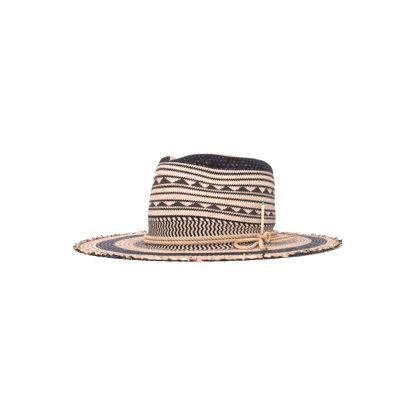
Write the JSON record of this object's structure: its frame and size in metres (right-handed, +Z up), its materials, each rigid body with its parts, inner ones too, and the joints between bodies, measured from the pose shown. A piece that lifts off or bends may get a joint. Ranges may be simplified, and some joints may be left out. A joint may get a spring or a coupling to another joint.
{
  "type": "woven palm straw hat",
  "caption": "Wide-brimmed woven palm straw hat with a creased crown, dark woven bands, frayed edge, rope band tied in a bow and a match tucked into it.",
  "frame": {"origin": "on the surface that the hat rests on, under the middle of the brim", "axes": "+Z up, -Y to the front of the hat, +X to its wearer's left, where the bow and the match are"},
  "size_m": [0.3574, 0.4008, 0.1272],
  "materials": {
    "straw": "woven palm straw, natural with charcoal stripes, triangles and zigzag",
    "straw_ends": "frayed cut straw ends, natural and charcoal",
    "rope": "twisted natural plant fibre",
    "match_wood": "plain split softwood",
    "match_tip": "matt green striking compound"
  },
  "bodies": {
    "root": {"straw_body": "straw", "brim_fringe": "straw_ends", "rope_turn_lower": "rope", "rope_turn_upper": "rope", "rope_knot": "rope", "bow_loop_front": "rope", "bow_loop_back": "rope", "rope_tail": "rope", "match_stick": "match_wood", "match_head": "match_tip"}
  },
  "joints": []
}
